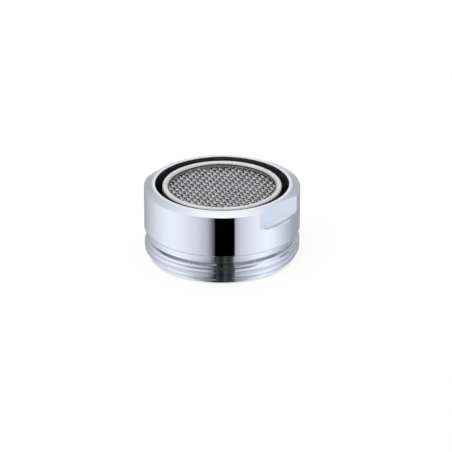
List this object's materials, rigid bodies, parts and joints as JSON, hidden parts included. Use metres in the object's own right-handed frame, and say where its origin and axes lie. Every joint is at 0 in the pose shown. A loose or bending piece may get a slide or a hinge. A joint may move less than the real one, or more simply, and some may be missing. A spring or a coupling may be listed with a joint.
{
  "type": "tap aerator",
  "caption": "Round chromed tap aerator with a male thread, spanner flats, a bevelled rim and a woven wire outlet screen in a rolled steel ring, for fastening into a spout.",
  "frame": {"origin": "centre of the thread's end face, which the part stands on", "axes": "+Z along the axis from the threaded inlet to the outlet, +X and -X out of the two spanner flats"},
  "size_m": [0.024, 0.024, 0.0117],
  "materials": {
    "chrome_plate": "polished chrome on brass",
    "black_rubber": "matt",
    "white_plastic": "moulded",
    "black_plastic": "moulded",
    "steel_wire": "drawn wire",
    "steel_ring": "drawn and rolled sheet"
  },
  "bodies": {
    "root": {"housing": "chrome_plate", "sealing_washer": "black_rubber", "inlet_filter": "white_plastic", "jet_plate": "white_plastic", "cartridge_body": "black_plastic", "inner_screen": "steel_wire", "outlet_screen": "steel_wire", "outlet_ring": "steel_ring"}
  },
  "joints": []
}
